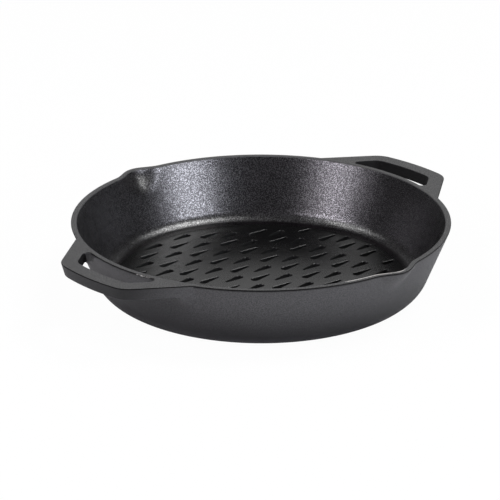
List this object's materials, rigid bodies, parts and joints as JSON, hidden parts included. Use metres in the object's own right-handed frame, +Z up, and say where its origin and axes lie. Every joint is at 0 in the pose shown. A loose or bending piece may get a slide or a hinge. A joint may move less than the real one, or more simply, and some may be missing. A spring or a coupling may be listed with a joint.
{
  "type": "grill basket",
  "caption": "Round flared cast iron pan with a slotted floor, pour spouts in its rim and loop handles flush with it, for grilling small pieces of food over a fire.",
  "frame": {"origin": "centre of the flat underside, on the surface that the basket stands on", "axes": "+X along the handles, +Y along the pour spouts, +Z up out of the bowl"},
  "size_m": [0.372, 0.3228, 0.0585],
  "materials": {
    "seasoned_iron": "oil-seasoned black iron as cast: satin, fine sand grain outside, coarser pebbled grain inside"
  },
  "bodies": {
    "root": {"slotted_floor": "seasoned_iron", "base_ring": "seasoned_iron", "right_wall": "seasoned_iron", "left_wall": "seasoned_iron", "front_spout": "seasoned_iron", "rear_spout": "seasoned_iron", "right_handle": "seasoned_iron", "left_handle": "seasoned_iron"}
  },
  "joints": []
}
